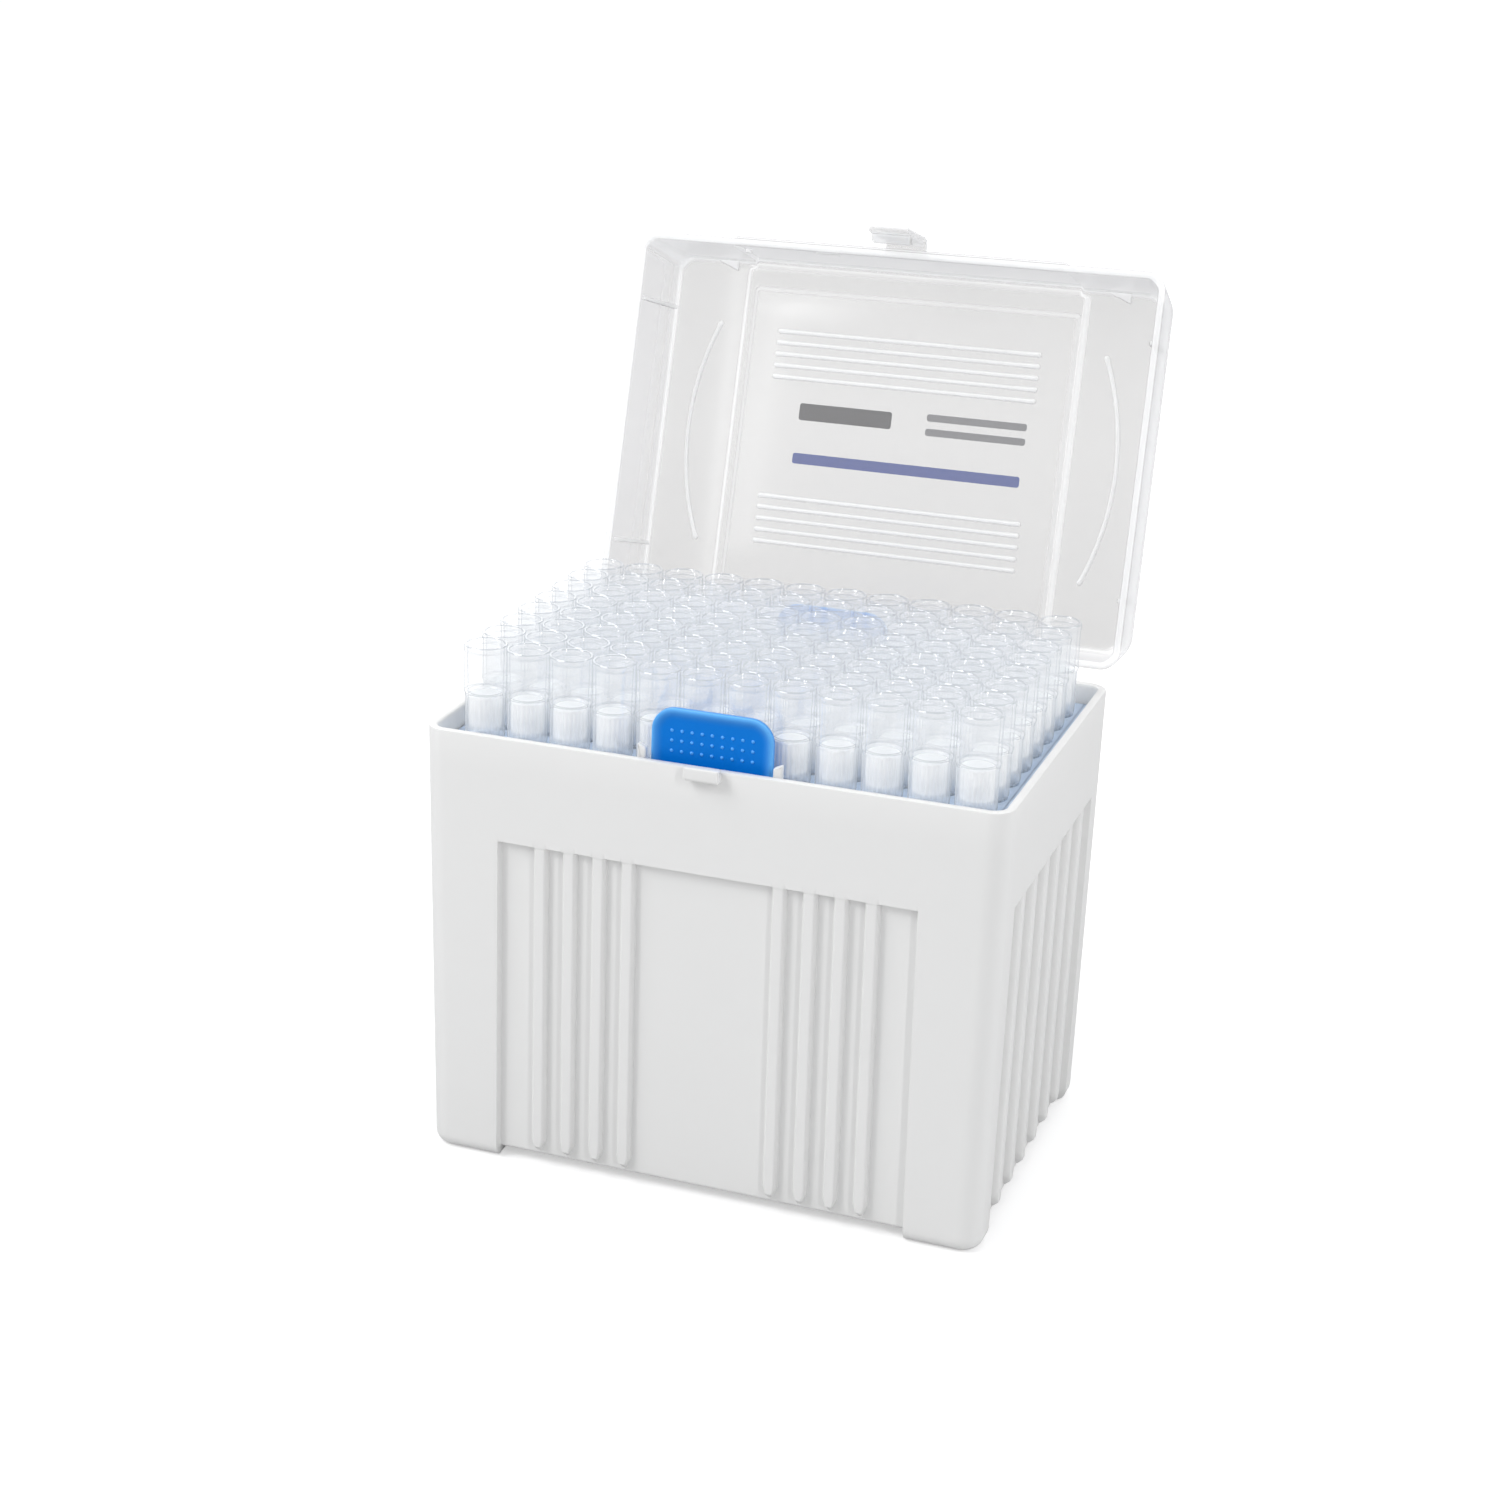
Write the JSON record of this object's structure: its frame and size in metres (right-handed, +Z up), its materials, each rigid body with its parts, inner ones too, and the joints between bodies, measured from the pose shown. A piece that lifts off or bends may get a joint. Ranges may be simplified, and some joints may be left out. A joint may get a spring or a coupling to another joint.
{
  "type": "pipette tip box",
  "caption": "Hinged-lid rack of clear filter tips standing in a blue tray inside a ribbed white box with a front clasp.",
  "frame": {"origin": "middle of the ground that the open box covers, at the undersides of its feet", "axes": "+Z up, -Y out of the front with the clasp and the tab, +X to the right seen from the front"},
  "size_m": [0.117, 0.1368, 0.1766],
  "materials": {
    "white_plastic": "smooth moulded polypropylene",
    "frosted_plastic": "translucent moulded polypropylene",
    "blue_plastic": "smooth moulded polypropylene",
    "clear_plastic": "clear moulded polypropylene",
    "filter_plastic": "porous sintered polyethylene"
  },
  "bodies": {
    "box": {"base": "white_plastic", "tray": "blue_plastic", "tip_h01": "clear_plastic", "tip_h02": "clear_plastic", "tip_h03": "clear_plastic", "tip_h04": "clear_plastic", "tip_h05": "clear_plastic", "tip_h06": "clear_plastic", "tip_h07": "clear_plastic", "tip_h08": "clear_plastic", "tip_h09": "clear_plastic", "tip_h10": "clear_plastic", "tip_h11": "clear_plastic", "tip_h12": "clear_plastic", "filter_h01": "filter_plastic", "filter_h02": "filter_plastic", "filter_h03": "filter_plastic", "filter_h04": "filter_plastic", "filter_h05": "filter_plastic", "filter_h06": "filter_plastic", "filter_h07": "filter_plastic", "filter_h08": "filter_plastic", "filter_h09": "filter_plastic", "filter_h10": "filter_plastic", "filter_h11": "filter_plastic", "filter_h12": "filter_plastic"},
    "lid": {"lid": "frosted_plastic"}
  },
  "joints": [
    {"name": "lid_hinge", "type": "hinge", "parent": "box", "child": "lid", "pos_m": [0, 0.02151, 0.08706], "axis": [1, 0, 0], "range_deg": [0, 106]}
  ]
}
